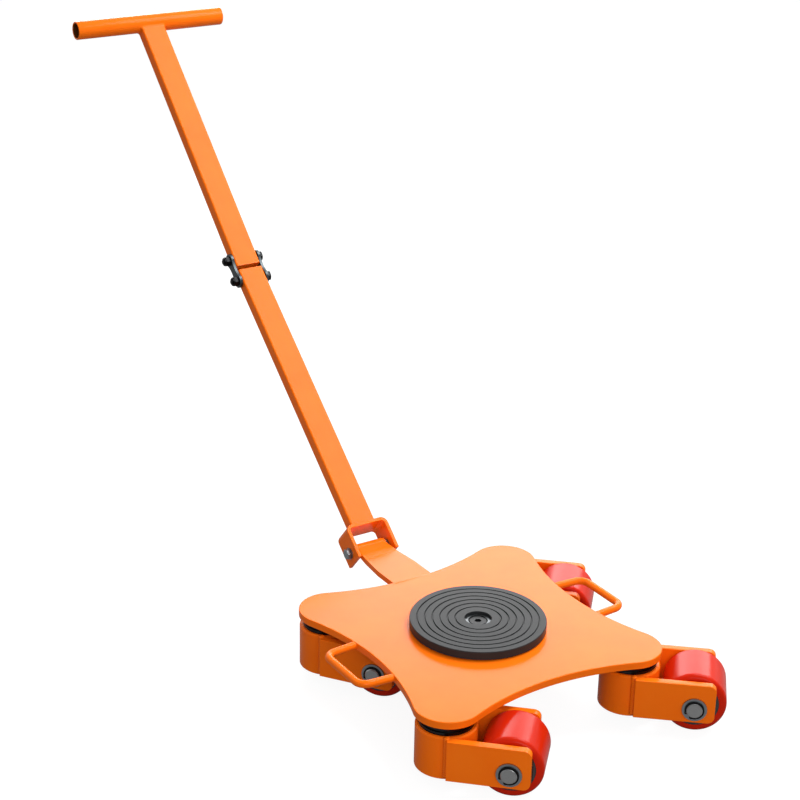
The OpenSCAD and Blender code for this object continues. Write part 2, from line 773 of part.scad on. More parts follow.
// A bolt along Y, from its head at grip on the +Y side to its end on the -Y side
module hex_bolt(d, af, head_h, grip, end) {
    rotate([-90, 0, 0]) {
        rotate_extrude() polygon([
            [0, -end],
            [d / 2 - bolt_bevel, -end],
            [d / 2, bolt_bevel - end],
            [d / 2, grip],
            [0, grip]
        ]);
        intersection() {
            hexagon(af, grip, grip + head_h);
            translate([0, 0, grip]) rotate_extrude() polygon([
                [0, 0],
                [af / 2 / cos(30) + 0.1, 0],
                [af / 2 / cos(30) + 0.1, head_h - bolt_bevel],
                [af / 2 - bolt_bevel / 2, head_h],
                [0, head_h]
            ]);
        }
    }
}

// A lock nut on the -Y side: a hexagon with a round collar
module lock_nut(d, af, h, grip) {
    rotate([90, 0, 0]) difference() {
        union() {
            hexagon(af, grip, grip + 0.75 * h);
            translate([0, 0, grip]) cylinder(d = af - 1, h = h);
        }
        translate([0, 0, grip - 1]) cylinder(d = d + 2 * seat_fit, h = h + 2);
    }
}

module bar_tube(from, to) {
    translate([from, 0, 0]) rotate([90, 0, 90]) linear_extrude(to - from) difference() {
        rounded_box(tube_w, tube_h, tube_edge_r);
        rounded_box(tube_w - 2 * tube_wall, tube_h - 2 * tube_wall, tube_edge_r / 2);
    }
}

module lower_bar() color(orange) along_bar(bar_foot, bar_lean) difference() {
    bar_tube(bridge_top, lower_bar_reach + bolt_to_end);
    translate([lower_bar_reach, 0, 0]) y_cylinder(link_bolt_d + 2 * run_fit, tube_w + 2);
}

module upper_bar() color(orange) along_bar(upper_link_bolt, upper_lean) difference() {
    bar_tube(-bolt_to_end, tbar_reach);
    y_cylinder(link_bolt_d + 2 * run_fit, tube_w + 2);
    translate([tbar_reach, 0, 0]) y_cylinder(tbar_d + 2 * seat_fit, tube_w + 2);
}

module t_bar() color(orange) along_bar(upper_link_bolt, upper_lean)
    translate([tbar_reach, 0, 0]) difference() {
        y_cylinder(tbar_d, tbar_len);
        y_cylinder(tbar_d - 2 * tbar_wall, tbar_len + 2);
    }

// Dog-bone outline: two round ends, with an arc cut from each side between them
module link_outline() {
    dip = link_end_r - link_waist / 2;
    reach = link_pitch / 2 - 2;
    arc_r = (reach * reach + dip * dip) / (2 * dip);
    difference() {
        union() {
            for (x = [0, link_pitch]) translate([x, 0]) circle(r = link_end_r);
            translate([0, -link_end_r]) square([link_pitch, 2 * link_end_r]);
        }
        for (x = [0, link_pitch]) translate([x, 0]) circle(d = link_bolt_d + 2 * seat_fit);
        for (s = [-1, 1]) translate([link_pitch / 2, s * (link_waist / 2 + arc_r)])
            circle(r = arc_r, $fn = 180);
    }
}

module link_plates() color(dark_steel) along_bar(lower_link_bolt, link_lean) for (s = [-1, 1])
    translate([0, s * (link_in + link_t / 2), 0]) rotate([90, 0, 0])
        linear_extrude(link_t, center = true) link_outline();

module link_bolts() color(dark_steel) along_bar(lower_link_bolt, link_lean) mirror([0, 1, 0])
    for (x = [0, link_pitch]) translate([x, 0, 0])
        hex_bolt(link_bolt_d, link_bolt_af, link_head_h, link_out, link_out + link_nut_h + bolt_tail);

module link_nuts() color(dark_steel) along_bar(lower_link_bolt, link_lean) mirror([0, 1, 0])
    for (x = [0, link_pitch]) translate([x, 0, 0])
        lock_nut(link_bolt_d, link_bolt_af, link_nut_h, link_out);

deck_plate();
tow_tongue();
tongue_barrel();
left_handle();
right_handle();
king_pins();
king_pin_washers();
king_pin_nuts();
swivel_bearings();
turntable_pivot();
turntable_nut();
thrust_washer();
turntable_disc();
load_pad();
yoke();
yoke_bolt();
yoke_washer();
yoke_nut();
lower_bar();
link_plates();
link_bolts();
link_nuts();
upper_bar();
t_bar();
for (k = [0:len(CORNERS) - 1]) {
    at_caster(k) hub_housing();
    at_caster(k) cheeks();
    at_caster(k) swivel_bush();
    at_caster(k) axle();
    at_caster(k) axle_washers();
    at_caster(k) retaining_rings();
    at_caster(k) roller_core();
    at_caster(k) roller_tyre();
    at_caster(k) roller_bearings();
}
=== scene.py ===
# %% [markdown]
# # Dressing a machine skate
#
# The skate is a steel deck on four swivel rollers. A turning load pad sits in its middle and a
# folding bar pulls it. The engineering model arrives as named nodes that are already in place.
# This lesson eases the edges of the plates, adds the welds and gives every piece its finish.

import json
from math import copysign, cos, pi, radians, sin, sqrt, tan

import bpy
from mathutils import Matrix, Vector

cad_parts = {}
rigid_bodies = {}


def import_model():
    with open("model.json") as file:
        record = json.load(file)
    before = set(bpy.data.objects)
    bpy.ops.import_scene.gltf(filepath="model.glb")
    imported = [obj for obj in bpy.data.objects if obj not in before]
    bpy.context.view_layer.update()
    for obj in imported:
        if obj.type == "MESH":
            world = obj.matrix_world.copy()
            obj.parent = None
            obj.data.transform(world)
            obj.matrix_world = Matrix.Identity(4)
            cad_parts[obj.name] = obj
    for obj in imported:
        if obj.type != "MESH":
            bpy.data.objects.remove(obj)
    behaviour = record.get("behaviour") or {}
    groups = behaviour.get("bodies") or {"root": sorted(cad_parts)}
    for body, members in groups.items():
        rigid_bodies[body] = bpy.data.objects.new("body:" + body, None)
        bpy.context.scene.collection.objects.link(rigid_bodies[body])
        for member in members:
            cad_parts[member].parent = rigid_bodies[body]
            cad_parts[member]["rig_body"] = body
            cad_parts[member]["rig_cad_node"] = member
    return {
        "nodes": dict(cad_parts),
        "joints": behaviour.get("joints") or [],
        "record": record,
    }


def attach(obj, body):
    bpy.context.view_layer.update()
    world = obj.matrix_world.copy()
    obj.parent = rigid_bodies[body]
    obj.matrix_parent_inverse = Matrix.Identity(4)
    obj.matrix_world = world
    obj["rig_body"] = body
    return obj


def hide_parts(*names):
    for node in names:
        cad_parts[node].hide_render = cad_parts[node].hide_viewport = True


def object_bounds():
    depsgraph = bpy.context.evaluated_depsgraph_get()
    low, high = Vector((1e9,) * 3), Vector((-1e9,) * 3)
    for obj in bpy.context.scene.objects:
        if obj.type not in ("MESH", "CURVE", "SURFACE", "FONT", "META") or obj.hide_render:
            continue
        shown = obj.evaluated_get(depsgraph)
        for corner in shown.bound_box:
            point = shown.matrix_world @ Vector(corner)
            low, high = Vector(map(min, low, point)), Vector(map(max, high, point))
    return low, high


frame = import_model()
cad_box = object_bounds()
mm = 0.001
nodes = frame["nodes"]
joints = {joint["name"]: joint for joint in frame["joints"]}
print(len(nodes), "nodes, box", [round(v, 3) for corner in cad_box for v in corner])

# %% [markdown]
# ## The viewpoint
#
# A long lens far from a product keeps its lines nearly parallel, and a catalogue picture is
# taken that way. The camera could be aimed with a constraint. Here it is placed by the direction
# it looks back along, because that also lets it roll by a little more than a degree, as a
# hand-levelled camera does.

# %% Camera
AZIMUTH, ELEVATION, ROLL = radians(57.30), radians(22.744), radians(1.213)
EYE = Vector((1.8151, -1.2904, 1.2309))
LENS_MM, SENSOR_MM, NEAREST = 89.34, 36, 0.05

back = Vector((sin(AZIMUTH) * cos(ELEVATION), -cos(AZIMUTH) * cos(ELEVATION), sin(ELEVATION)))
level = Vector((cos(AZIMUTH), sin(AZIMUTH), 0))
rise = back.cross(level)
right = level * cos(ROLL) + rise * sin(ROLL)
up = rise * cos(ROLL) - level * sin(ROLL)

bpy.ops.object.camera_add(location=EYE)
camera = bpy.context.object
camera.matrix_world = Matrix.Translation(EYE) @ Matrix((right, up, back)).transposed().to_4x4()
camera.data.lens = LENS_MM
camera.data.sensor_width = SENSOR_MM
camera.data.clip_start = NEAREST
bpy.context.scene.camera = camera
print("camera", [round(v, 3) for v in camera.location], camera.data.lens, "mm")

# %% [markdown]
# ## Building finishes
#
# A finish is a small graph of nodes. Colours are written as the hex codes a screen shows, and
# one function turns them into the linear values that the renderer mixes. A second function adds
# a node with its settings and its links, so that each finish reads as a short list.

# %% Helpers for finishes
def linear(code):
    channels = [int(code[i:i + 2], 16) / 255 for i in (1, 3, 5)]
    return (*[c / 12.92 if c <= 0.04045 else ((c + 0.055) / 1.055) ** 2.4 for c in channels], 1.0)


def add_node(tree, kind, inputs=None, links=None, **settings):
    node = tree.nodes.new(kind)
    for name, value in settings.items():
        setattr(node, name, value)
    for socket, value in (inputs or {}).items():
        node.inputs[socket].default_value = value
    for socket, source in (links or {}).items():
        tree.links.new(source, node.inputs[socket])
    return node


def new_finish(name, inputs):
    """A material with its shader's own sockets set. Returns the material, its tree and shader."""
    finish = bpy.data.materials.new(name)
    finish.use_nodes = True
    tree = finish.node_tree
    shader = tree.nodes["Principled BSDF"]
    for socket, value in inputs.items():
        shader.inputs[socket].default_value = value
    return finish, tree, shader


def per_metre(size_mm):
    """The scale of a noise whose features are that size."""
    return 1 / (size_mm * mm)


print("orange in linear light:", [round(v, 3) for v in linear("#ff7f27")])

# %% [markdown]
# ## Powder coat
#
# The deck, the casters and the bar are steel, sprayed with polyester powder and baked. That
# gives an even, fairly glossy skin about 0.1 mm thick with a faint orange-peel ripple. The
# real ripple is about 1.5 mm from crest to crest, and is drawn at 3 mm so that it shows. The
# colour could be one flat value. A second, much wider noise moves it a little instead, as a
# sprayed coat varies in thickness.

# %% Orange powder coat
PEEL_MM, PEEL_DEPTH_MM, DRIFT_MM = 3, 0.1, 60


def powder_coat(name, body_colour, thin_colour):
    finish, tree, shader = new_finish(name, {"Specular IOR Level": 0.09})
    where = add_node(tree, "ShaderNodeTexCoord").outputs["Object"]
    drift = add_node(tree, "ShaderNodeTexNoise", {"Scale": per_metre(DRIFT_MM), "Detail": 3.0}, {"Vector": where})
    colour = add_node(tree, "ShaderNodeValToRGB", links={"Fac": drift.outputs["Fac"]})
    for stop, position, code in zip(colour.color_ramp.elements, (0.3, 0.7), (body_colour, thin_colour)):
        stop.position = position
        stop.color = linear(code)
    tree.links.new(colour.outputs["Color"], shader.inputs["Base Color"])
    peel = add_node(tree, "ShaderNodeTexNoise", {"Scale": per_metre(PEEL_MM), "Detail": 1.0}, {"Vector": where})
    ripple = add_node(tree, "ShaderNodeBump", {"Strength": 0.08, "Distance": PEEL_DEPTH_MM * mm},
                      {"Height": peel.outputs["Fac"]})
    tree.links.new(ripple.outputs["Normal"], shader.inputs["Normal"])
    gloss = add_node(tree, "ShaderNodeMapRange", {"To Min": 0.18, "To Max": 0.26},
                     {"Value": drift.outputs["Fac"]})
    tree.links.new(gloss.outputs["Result"], shader.inputs["Roughness"])
    return finish


orange_coat = powder_coat("orange_polyester_powder_coat_on_steel", "#fb6f0d", "#fd7511")
# The second coat is a dark brown: painted shade for the inside of the T-bar's bore.
bore_painted_shade_coat = powder_coat("dark_coat_with_painted_shade_inside_the_tube", "#6e3610", "#4c270f")
print(orange_coat.name, bore_painted_shade_coat.name)

# %% [markdown]
# ## Rubber, polyurethane and bare metals
#
# The load pad is nitrile rubber, moulded against a blasted steel tool, so it is dark grey and
# satin with a fine grain. The tyres are cast polyurethane, which is coloured right through and
# comes out of its mould smooth and glossy. Both are one recipe with other numbers: a soft cloud
# for the colour and a fine noise for the grain, which is drawn at the size of the tool's grit.

# %% Rubber and polyurethane
CLOUD_MM = 25


def moulded(name, colour, shade, grain_mm, depth_mm, inputs):
    finish, tree, shader = new_finish(name, inputs)
    where = add_node(tree, "ShaderNodeTexCoord").outputs["Object"]
    cloud = add_node(tree, "ShaderNodeTexNoise", {"Scale": per_metre(CLOUD_MM), "Detail": 4.0}, {"Vector": where})
    tone = add_node(tree, "ShaderNodeMix", links={"Factor": cloud.outputs["Fac"]}, data_type="RGBA")
    tone.inputs["A"].default_value = linear(colour)
    tone.inputs["B"].default_value = linear(shade)
    tree.links.new(tone.outputs["Result"], shader.inputs["Base Color"])
    grain = add_node(tree, "ShaderNodeTexNoise", {"Scale": per_metre(grain_mm), "Detail": 2.0},
                     {"Vector": where})
    bump = add_node(tree, "ShaderNodeBump", {"Strength": 0.35, "Distance": depth_mm * mm},
                    {"Height": grain.outputs["Fac"]})
    tree.links.new(bump.outputs["Normal"], shader.inputs["Normal"])
    return finish


pad_rubber = moulded("moulded_nitrile_rubber", "#2a2b2c", "#303132", 1.2, 0.05,
                     {"Roughness": 0.34, "Specular IOR Level": 0.07})
red_tyre = moulded("cast_red_polyurethane", "#c8260a", "#c41f08", 4.0, 0.02,
                   {"Roughness": 0.2, "Specular IOR Level": 0.09})
print(pad_rubber.name, red_tyre.name)

# %% [markdown]
# The small parts are steel with several surfaces: zinc plate on the washers and the yoke's bolt,
# black oxide on the retaining rings, dark phosphate on the link plates, and oiled bearing steel.
# The bushes are sintered bronze. Each could be one even grey. A mottled noise is used instead,
# and it moves the tone and the roughness together, as real plating does.

# %% Plated, blackened and sintered metal
PIT_DEPTH_MM = 0.05


def plated(name, colour, stain, spot_mm, rough_low, rough_high):
    finish, tree, shader = new_finish(name, {"Metallic": 1.0})
    where = add_node(tree, "ShaderNodeTexCoord").outputs["Object"]
    mottle = add_node(tree, "ShaderNodeTexNoise", {"Scale": per_metre(spot_mm), "Detail": 5.0, "Roughness": 0.6},
                      {"Vector": where})
    tone = add_node(tree, "ShaderNodeMix", links={"Factor": mottle.outputs["Fac"]}, data_type="RGBA")
    tone.inputs["A"].default_value = linear(colour)
    tone.inputs["B"].default_value = linear(stain)
    tree.links.new(tone.outputs["Result"], shader.inputs["Base Color"])
    rough = add_node(tree, "ShaderNodeMapRange", {"To Min": rough_low, "To Max": rough_high},
                     {"Value": mottle.outputs["Fac"]})
    tree.links.new(rough.outputs["Result"], shader.inputs["Roughness"])
    bump = add_node(tree, "ShaderNodeBump", {"Strength": 0.2, "Distance": PIT_DEPTH_MM * mm},
                    {"Height": mottle.outputs["Fac"]})
    tree.links.new(bump.outputs["Normal"], shader.inputs["Normal"])
    return finish


zinc_plate = plated("zinc_plated_steel", "#9aa0a5", "#858b90", 6, 0.3, 0.42)
black_oxide = plated("black_oxide_spring_steel", "#2b2b2c", "#1d1e1f", 4, 0.35, 0.5)
dark_phosphate = plated("stamped_steel_dark_phosphate", "#5a6062", "#474d50", 8, 0.34, 0.5)
oiled_bearing = plated("oiled_bearing_steel", "#3c3f41", "#232527", 5, 0.25, 0.4)
sintered_bronze = plated("sintered_bronze", "#a37b45", "#8a6435", 3, 0.4, 0.55)
print([m.name for m in (zinc_plate, black_oxide, dark_phosphate, oiled_bearing, sintered_bronze)])

# %% [markdown]
# A lathe leaves fine rings round the axis on the end of a shaft. A wave texture draws them, and it
# needs to know where the axis is. So each axle gets its own copy of the finish, centred and turned
# by a Mapping node. Real rings are 0.2 mm apart, and are drawn 1.2 mm apart so that they show.

# %% Turned steel, one finish for each axis
RING_MM, RING_DEPTH_MM, WAVES_PER_UNIT = 1.2, 0.06, 20


def turned_steel(name, centre, turn, colour="#bcbebe", stain="#8c8d8e"):
    finish, tree, shader = new_finish(name, {"Metallic": 1.0, "Roughness": 0.3})
    where = add_node(tree, "ShaderNodeTexCoord").outputs["Object"]
    own = add_node(tree, "ShaderNodeMapping", links={"Vector": where}, vector_type="TEXTURE")
    own.inputs["Location"].default_value = centre
    own.inputs["Rotation"].default_value = turn
    scale = 2 * pi / (WAVES_PER_UNIT * RING_MM * mm)
    rings = add_node(tree, "ShaderNodeTexWave", {"Scale": scale, "Distortion": 0.6, "Detail": 1.0},
                     {"Vector": own.outputs["Vector"]}, wave_type="RINGS", rings_direction="Y")
    tone = add_node(tree, "ShaderNodeMix", links={"Factor": rings.outputs["Fac"]}, data_type="RGBA")
    tone.inputs["A"].default_value = linear(colour)
    tone.inputs["B"].default_value = linear(stain)
    tree.links.new(tone.outputs["Result"], shader.inputs["Base Color"])
    bump = add_node(tree, "ShaderNodeBump", {"Strength": 0.5, "Distance": RING_DEPTH_MM * mm},
                    {"Height": rings.outputs["Fac"]})
    tree.links.new(bump.outputs["Normal"], shader.inputs["Normal"])
    return finish


CORNERS = ("front_left", "front_right", "rear_left", "rear_right")
axle_at = {c: Vector(joints[c + "_roll"]["pos_m"]) for c in CORNERS}
swivel_at = {c: Vector(joints[c + "_swivel"]["pos_m"]) for c in CORNERS}
trail_turn = {c: (axle_at[c] - swivel_at[c]).to_2d().angle_signed(Vector((1, 0))) for c in CORNERS}
axle_steel = {c: turned_steel(c + "_turned_steel", axle_at[c], (0, 0, trail_turn[c])) for c in CORNERS}
# The other turned parts, such as the pad's centre and the roller cores' ends, sit in recesses; their steel is
# darkened to a dark grey as painted shade.
turned_steel_with_painted_shade = turned_steel("turned_steel_darkened_as_painted_shade", (0, 0, 0), (pi / 2, 0, 0), "#5f6264", "#4b4e50")
print({c: round(trail_turn[c] * 180 / pi, 1) for c in CORNERS})

# %% [markdown]
# ## Giving the nodes their finish
#
# The record names a material slot for every node. A table from slot to finish dresses them all,
# and the four axles take their own.

# %% Dress every node
def dress(thing, finish):
    thing.data.materials.clear()
    thing.data.materials.append(finish)


finish_of = {
    "orange_paint": orange_coat, "pad_rubber": pad_rubber, "red_polyurethane": red_tyre,
    "turned_steel": turned_steel_with_painted_shade, "bearing_steel": oiled_bearing, "zinc": zinc_plate,
    "spring_steel": black_oxide, "dark_steel": dark_phosphate, "bronze": sintered_bronze}
slot_of = {part["node"]: part["material_slot"] for part in frame["record"]["subparts"]}
for name, node in nodes.items():
    dress(node, finish_of[slot_of[name]])
for corner in CORNERS:
    dress(nodes[corner + "_axle"], axle_steel[corner])
print(len(slot_of), "nodes dressed")

# %% [markdown]
# ## Eased edges
#
# A cut plate is never razor sharp: its edges are broken before coating and the powder rounds them
# further, and that thin round edge catches the light. A shader can fake it, but a bevel is real
# shape and shows from every side. Each plate's node is copied, its loose triangles are joined,
# flat areas are cleared of needless edges, and a bevel rounds what is left.

# %% Helpers for copying and bevelling
WELD_POINTS_MM = 0.002
FLAT_ENOUGH, EDGE_ANGLE, SMOOTH_BELOW = 0.4, 35, 32


def pick(*things):
    if bpy.context.object and bpy.context.object.mode != "OBJECT":
        bpy.ops.object.mode_set(mode="OBJECT")
    bpy.ops.object.select_all(action="DESELECT")
    for thing in things:
        thing.hide_set(False)
        thing.select_set(True)
    bpy.context.view_layer.objects.active = things[-1]


def copy_of(node, name):
    pick(nodes[node])
    bpy.ops.object.duplicate()
    piece = bpy.context.object
    piece.name = name
    bpy.ops.object.parent_clear(type="CLEAR")
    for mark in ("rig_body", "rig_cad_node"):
        del piece[mark]
    bpy.ops.mesh.customdata_custom_splitnormals_clear()
    bpy.ops.object.mode_set(mode="EDIT")
    bpy.ops.mesh.select_all(action="SELECT")
    bpy.ops.mesh.remove_doubles(threshold=WELD_POINTS_MM * mm)
    bpy.ops.mesh.dissolve_limited(angle_limit=radians(FLAT_ENOUGH))
    bpy.ops.object.mode_set(mode="OBJECT")
    return piece


def ease(node, width_mm, body, segments=3, smooth=SMOOTH_BELOW, flat_faces=True):
    """Stands a round-edged copy in for a node. Angles below smooth degrees are shaded smooth."""
    piece = copy_of(node, node + "_eased")
    bevel = piece.modifiers.new("eased edges", "BEVEL")
    bevel.width = width_mm * mm
    bevel.segments = segments
    bevel.limit_method = "ANGLE"
    bevel.angle_limit = radians(EDGE_ANGLE)
    bevel.use_clamp_overlap = True
    pick(piece)
    bpy.ops.object.modifier_apply(modifier=bevel.name)
    bpy.ops.object.shade_smooth_by_angle(angle=radians(smooth))
    if flat_faces:
        flat = piece.modifiers.new("flat faces stay flat", "WEIGHTED_NORMAL")
        flat.keep_sharp = True
        bpy.ops.object.modifier_apply(modifier=flat.name)
    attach(piece, body)
    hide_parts(node)
    return piece


def faces_of(*pieces):
    return [len(piece.data.polygons) for piece in pieces]


print("edges sharper than", EDGE_ANGLE, "degrees are eased")

# %% [markdown]
# The tongue's end is bent up by only 6 degrees. Smooth shading would blur that bend away, so the
# tongue is shaded smooth below 5 degrees only, and its bevels get more segments to stay round.

# %% Ease the deck and its fittings
deck = ease("deck_plate", 1.2, "deck")
tongue = ease("tow_tongue", 0.9, "deck", segments=6, smooth=5)
barrel = ease("tongue_barrel", 0.8, "deck")
print("faces", faces_of(deck, tongue, barrel))

# %% Ease the casters
for corner in CORNERS:
    housing = ease(corner + "_hub_housing", 0.8, corner + "_caster")
    plates = ease(corner + "_cheeks", 1.1, corner + "_caster")
    print(corner, faces_of(housing, plates))

# %% Ease the pull bar
yoke = ease("yoke", 0.9, "tow_bar")
lower = ease("lower_bar", 0.35, "tow_bar", segments=2)
upper = ease("upper_bar", 0.35, "upper_handle", segments=2)
grip = ease("t_bar", 0.8, "upper_handle", flat_faces=False)
links = ease("link_plates", 0.7, "fold_links")
print("faces", faces_of(yoke, lower, upper, grip, links))

# %% [markdown]
# Little powder reaches the inside of an open tube and the bore lies in shade, so the T-bar's ends look dark.
# That shade is painted: the faces of the bore are found by their distance from the tube's middle line, and take a
# dark brown coat as painted shade.

# %% The inside of the T-bar
BORE_R, ACROSS_THE_BORE = 11.1, 0.5

grip.data.materials.append(bore_painted_shade_coat)
axis = sum((Vector(point) for point in grip.bound_box), Vector()) / 8
for face in grip.data.polygons:
    arm = face.center - axis
    if abs(face.normal.y) < ACROSS_THE_BORE and Vector((arm.x, arm.z)).length < BORE_R * mm:
        face.material_index = 1
print(sum(face.material_index for face in grip.data.polygons), "faces inside the T-bar")

# %% [markdown]
# ## Welds
#
# A seam laid by hand is a row of round puddles, and each one half covers the last. The powder
# coat goes over them. A pattern could paint a seam, but real puddles catch the light. A bead is
# given as a path of points, and its puddles are spheres pressed flat along the path.
#
# Where a weld was run wide and dressed smooth, a skin is laid instead. It is given as a row of
# closed sections along the seam, and each section's visible side is a curve that leaves one steel
# face and reaches the other along their own directions.

# %% Helpers for welds
PUDDLE_PRESS, PUDDLE_STEP = 0.75, 0.93
SMOOTH_WELD = 40
SHARES = (0, 0.15, 0.3, 0.45, 0.6, 0.75, 0.9, 1)


def coated(seam, name, body):
    seam.name = name
    bpy.ops.object.shade_smooth_by_angle(angle=radians(SMOOTH_WELD))
    dress(seam, orange_coat)
    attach(seam, body)
    return seam


def bead(name, path, radius_mm, body):
    gap = PUDDLE_STEP * PUDDLE_PRESS * radius_mm * mm
    spots = []
    for start, end in zip(path, path[1:]):
        count = max(1, round((end - start).length / gap))
        spots += [(start.lerp(end, k / count), end - start) for k in range(count)]
    spots.append((path[-1], path[-1] - path[-2]))
    puddles = []
    for place, run in spots:
        bpy.ops.mesh.primitive_uv_sphere_add(segments=16, ring_count=8, radius=radius_mm * mm, location=place,
                                             rotation=run.to_track_quat("Z", "Y").to_euler(),
                                             scale=(1, 1, PUDDLE_PRESS))
        puddles.append(bpy.context.object)
    pick(*puddles)
    bpy.ops.object.join()
    bpy.ops.object.transform_apply(location=True, rotation=True, scale=True)
    return coated(bpy.context.object, name, body)


def curve(start, corner, end, share):
    """A point of the curve that leaves start and reaches end along the lines to the corner."""
    return [(1 - share) ** 2 * a + 2 * share * (1 - share) * b + share ** 2 * c
            for a, b, c in zip(start, corner, end)]


def flare(name, sections, body):
    """A skin laid through closed sections along a seam. Its ends meet, or each ends in one point."""
    bpy.ops.mesh.primitive_grid_add(x_subdivisions=len(sections[0]) - 1, y_subdivisions=len(sections) - 1)
    skin = bpy.context.object
    points = [point for section in sections for point in section]
    for corner, point in zip(skin.data.vertices, points, strict=True):
        corner.co = point
    bpy.ops.object.mode_set(mode="EDIT")
    bpy.ops.mesh.select_all(action="SELECT")
    bpy.ops.mesh.remove_doubles(threshold=WELD_POINTS_MM * mm)
    bpy.ops.mesh.normals_make_consistent(inside=False)
    bpy.ops.object.mode_set(mode="OBJECT")
    return coated(skin, name, body)


def placed(matrix, points_mm):
    return [matrix @ (Vector(point) * mm) for point in points_mm]


def bar_frame(point, lean):
    """X runs up a bar and Z points out of its front face."""
    axes = Matrix(((-cos(lean), 0, sin(lean)), (0, -1, 0), (sin(lean), 0, cos(lean)))).transposed()
    return Matrix.Translation(point) @ axes.to_4x4()


print("curve halfway", curve((0, 0), (1, 0), (1, 1), 0.5))

# %% [markdown]
# On each caster, an upright bead joins each side plate to the round housing. The beads are laid
# in the caster's own directions, with X pointing to its axle.

# %% Welds on the casters
HOUSING_R, PLATE_START = 38, 8
PLATE_LOW, PLATE_HIGH = -19.6, 33.7
PLATE_BEAD_R = 4.2

for corner in CORNERS:
    swivel_axis = Vector((swivel_at[corner].x, swivel_at[corner].y, axle_at[corner].z))
    own = Matrix.Translation(swivel_axis) @ Matrix.Rotation(trail_turn[corner], 4, "Z")
    for side, label in ((-1, "right"), (1, "left")):
        corner_line = [(PLATE_START - 1, side * (HOUSING_R + 0.6), z) for z in (PLATE_LOW + 2, PLATE_HIGH - 1.5)]
        seam = bead(f"{corner}_{label}_plate_weld", placed(own, corner_line), PLATE_BEAD_R, corner + "_caster")
    print(corner, "welds", faces_of(seam))

# %% [markdown]
# The bar's foot stands on the yoke's bridge, with a thin bead all round it.

# %% Weld at the foot of the bar
LOWER_LEAN, UPPER_LEAN = radians(40.3), radians(44.2)
HALF_W, HALF_H = 19, 9
BRIDGE_TOP, BAR_OFFSET, FOOT_BEAD_R = 34, 2.2, 1.8

lower_frame = bar_frame(Vector(joints["tow_bar_swing"]["pos_m"]), LOWER_LEAN)
lower_frame = lower_frame @ Matrix.Translation((0, 0, BAR_OFFSET * mm))
foot = [(BRIDGE_TOP, side * HALF_W, front * HALF_H)
        for side, front in ((-1, -1), (-1, 1), (1, 1), (1, -1), (-1, -1))]
foot_weld = bead("yoke_bar_weld", placed(lower_frame, foot), FOOT_BEAD_R, "tow_bar")
print("foot weld", faces_of(foot_weld))

# %% [markdown]
# At the T-bar the weld is a smooth flare. It leaves the bar's four sides a little below the tube
# and spreads out on the tube's round side.

# %% Weld at the T-bar
CROSS_AT, CROSS_R = 414.7, 13.5
BAR_CORNER_R, FLARE_W = 2.5, 4.1
SUNK, UNDER_X, UNDER = 0.06, 0.6, 0.8


def t_bar_surface(z):
    return CROSS_AT - sqrt(CROSS_R ** 2 - z * z)


outline = []
for quarter in range(4):
    turns = [radians(90 * quarter + 15 * k) for k in range(7)]
    middle = (copysign(HALF_W - BAR_CORNER_R, cos(turns[3])), copysign(HALF_H - BAR_CORNER_R, sin(turns[3])))
    outline += [(middle, (cos(turn), sin(turn))) for turn in turns]
upper_frame = bar_frame(Vector(joints["upper_fold"]["pos_m"]), UPPER_LEAN)
sections = []
for (middle_y, middle_z), (out_y, out_z) in outline + outline[:1]:
    y, z = middle_y + (BAR_CORNER_R - SUNK) * out_y, middle_z + (BAR_CORNER_R - SUNK) * out_z
    seam_x = t_bar_surface(z)
    start = (seam_x - FLARE_W, y, z)
    end = (t_bar_surface(z + FLARE_W * out_z) + 0.1, y + FLARE_W * out_y, z + FLARE_W * out_z)
    under = (seam_x + UNDER_X, y - UNDER * out_y, z - UNDER * out_z)
    visible = [curve(start, (seam_x, y, z), end, share) for share in SHARES]
    sections.append(placed(upper_frame, visible + [under, start]))
cross_weld = flare("t_bar_weld", sections, "upper_handle")
print("T-bar weld", faces_of(cross_weld))

# %% [markdown]
# A wide weld joins the tongue's end to its barrel above, and a thin bead joins them below. The
# wide one ends in a point under the steel at each end. Where the tongue meets the deck the seam
# was ground level, so a flat strip closes the joint there.

# %% Welds on the deck
DECK_TOP, WAIST = -12.5, 306
TONGUE_T, TONGUE_ROOT_W, TONGUE_RISE = 8, 59, radians(6)
BARREL_R, BARREL_FROM, BARREL_TO, BOLT_DROP = 10, -24.75, 21.95, 3.7
WELD_START, WELD_CORNER, WELD_TIP, WELD_LIFT, WELD_END = 6.2, 7.5, 16.5, 0.8, 3
STATIONS, UNDER_BEAD_R = 40, 2.0


def tongue_top(x):
    return BOLT_DROP + TONGUE_T / 2 / cos(TONGUE_RISE) - x * tan(TONGUE_RISE)


pivot_frame = Matrix.Translation(joints["tow_bar_swing"]["pos_m"])
middle_line = [BARREL_FROM + 0.5 + (BARREL_TO - BARREL_FROM - 1) * k / STATIONS for k in range(STATIONS + 1)]
sections = []
for y in middle_line:
    full = min(1, (y - middle_line[0]) / WELD_END, (middle_line[-1] - y) / WELD_END)
    on_barrel = WELD_START - 1.5 * full
    start = (on_barrel, y, sqrt(BARREL_R ** 2 - on_barrel ** 2) - 0.08)
    corner = (WELD_CORNER, y, tongue_top(WELD_CORNER) + WELD_LIFT * full)
    tip = WELD_TIP + 0.5 * sin(1.7 * y)
    end = (tip, y, tongue_top(tip) - SUNK)
    under = (WELD_CORNER, y, tongue_top(WELD_CORNER) - 2)
    section = [curve(start, corner, end, share) for share in SHARES] + [under, start]
    sections.append(placed(pivot_frame, section if full else [under] * len(section)))
wide = flare("upper_barrel_weld", sections, "deck")
under_line = [(BARREL_R + 0.3, y, BOLT_DROP - TONGUE_T / 2) for y in (BARREL_FROM + 3, BARREL_TO - 3.5)]
thin = bead("lower_barrel_weld", placed(pivot_frame, under_line), UNDER_BEAD_R, "deck")

